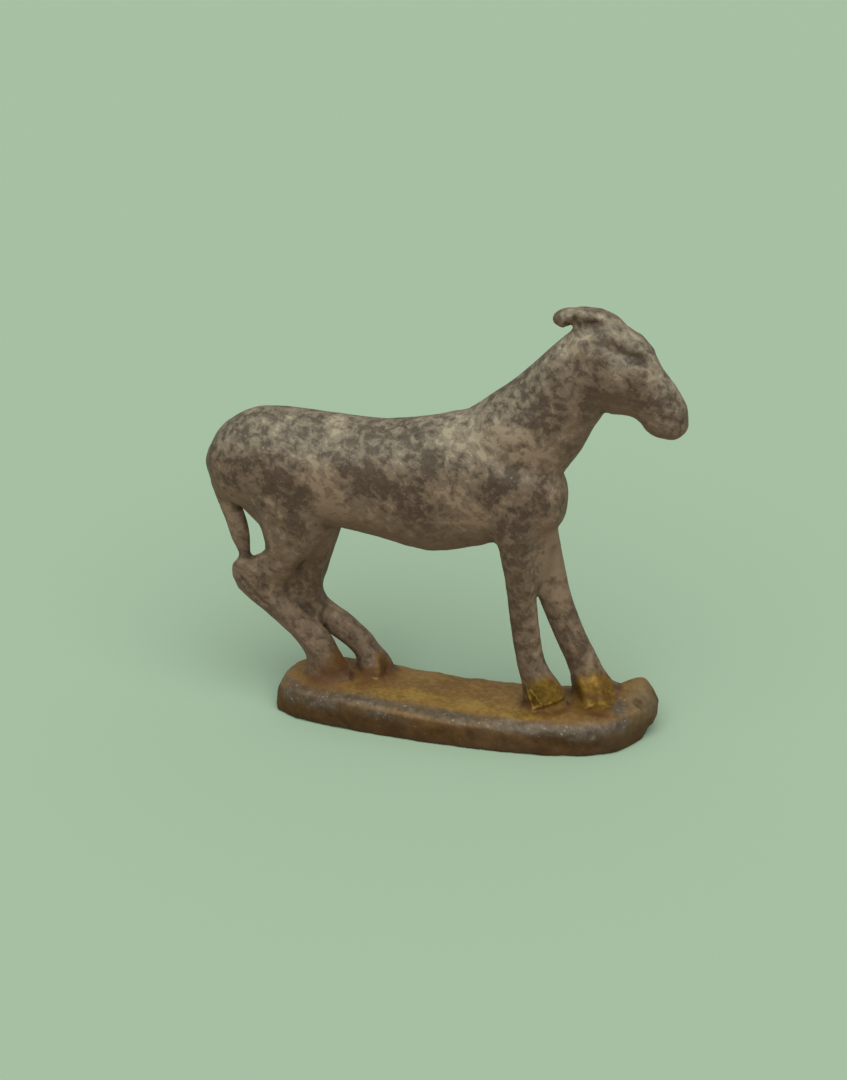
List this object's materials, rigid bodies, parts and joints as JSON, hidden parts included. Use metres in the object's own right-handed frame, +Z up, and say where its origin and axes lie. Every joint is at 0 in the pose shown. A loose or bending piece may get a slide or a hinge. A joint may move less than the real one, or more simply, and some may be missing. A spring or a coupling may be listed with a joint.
{
  "type": "animal figurine",
  "caption": "Small cast-metal figurine of a walking hoofed animal with a long tail and laid-back ears, on an oblong ground bar with worn gilding.",
  "frame": {"origin": "on the flat underside of the ground bar, below the figure's mid-plane, about mid-length of the bar", "axes": "+X along the bar towards the head, +Y across towards the far side, +Z up; Y = 0 is the mould's parting plane"},
  "size_m": [0.0584, 0.0137, 0.0548],
  "materials": {
    "patinated_lead": "dull oxidised lead-tin with a chalky tan bloom, darker bare patches and worn gilt hooves",
    "gilt_lead": "worn gold paint over grey metal, brown with dirt, rubbed bare along the upper edge"
  },
  "bodies": {
    "root": {"ground_bar": "gilt_lead", "trunk": "patinated_lead", "neck_and_head": "patinated_lead", "near_ear": "patinated_lead", "far_ear": "patinated_lead", "tail": "patinated_lead", "near_fore_leg": "patinated_lead", "far_fore_leg": "patinated_lead", "near_hind_leg": "patinated_lead", "far_hind_leg": "patinated_lead"}
  },
  "joints": []
}
